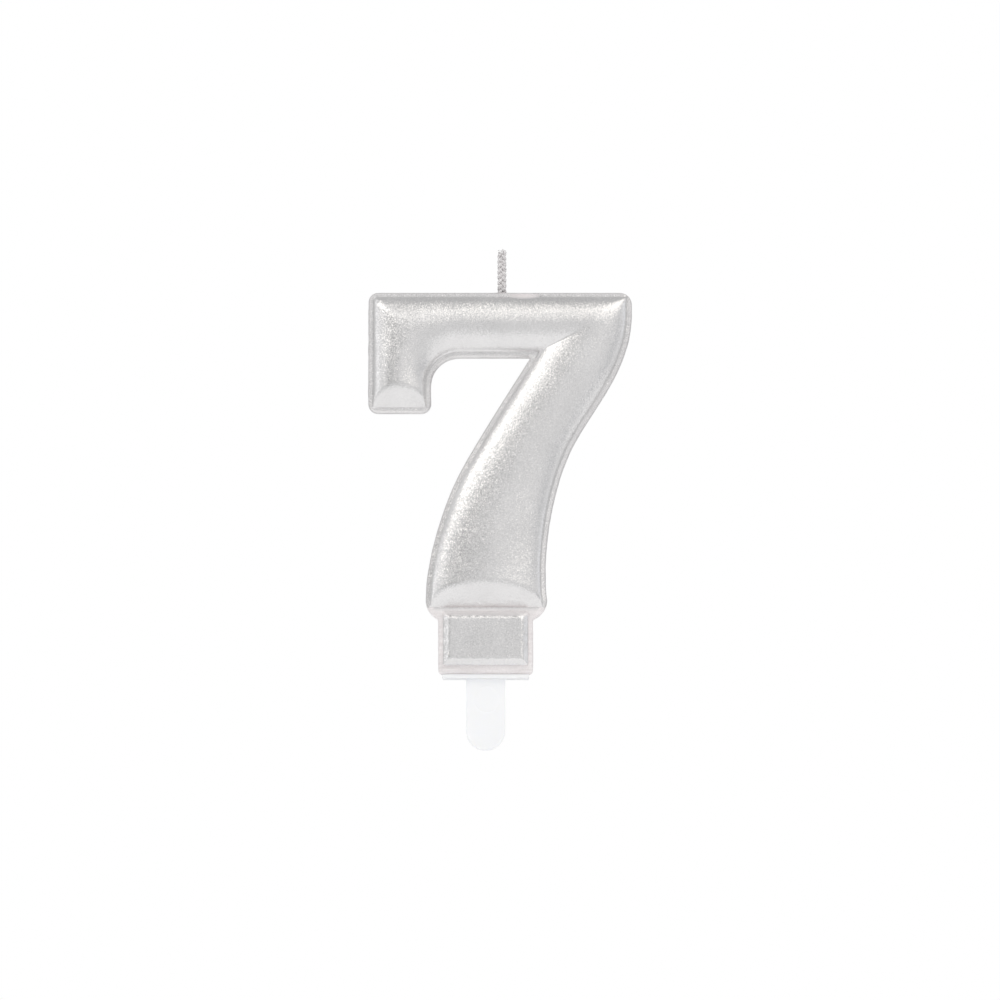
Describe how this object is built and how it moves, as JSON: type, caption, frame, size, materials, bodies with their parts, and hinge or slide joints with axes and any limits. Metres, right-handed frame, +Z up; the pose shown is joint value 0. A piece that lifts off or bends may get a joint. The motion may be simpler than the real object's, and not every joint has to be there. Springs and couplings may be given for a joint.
{
  "type": "number birthday candle",
  "caption": "Numeral 7 birthday candle: silver-lacquered crowned wax numeral with a block foot, a braided wick, and a white plastic cake pick.",
  "frame": {"origin": "on the pick's centre line at the underside of its plate, where the surface of the cake comes", "axes": "+Z up along the numeral, +X to the right of somebody reading the numeral, -Y out of the numeral's front"},
  "size_m": [0.053, 0.0108, 0.1013],
  "materials": {
    "silver_lacquered_wax": "satin",
    "wick_cord": "matte",
    "white_plastic": "satin"
  },
  "bodies": {
    "pick": {"pick": "white_plastic"},
    "candle": {"wax_numeral": "silver_lacquered_wax", "wick_embedded": "wick_cord"},
    "wick_tip": {"wick_tip": "wick_cord"}
  },
  "joints": [
    {"name": "candle_lift", "type": "slide", "parent": "pick", "child": "candle", "axis": [0, 0, 1], "range_m": [0, 0.0125]},
    {"name": "wick_bend", "type": "hinge", "parent": "candle", "child": "wick_tip", "pos_m": [0.0032, 0, 0.0789], "axis": [0, 1, 0], "range_deg": [-50, 50]}
  ]
}
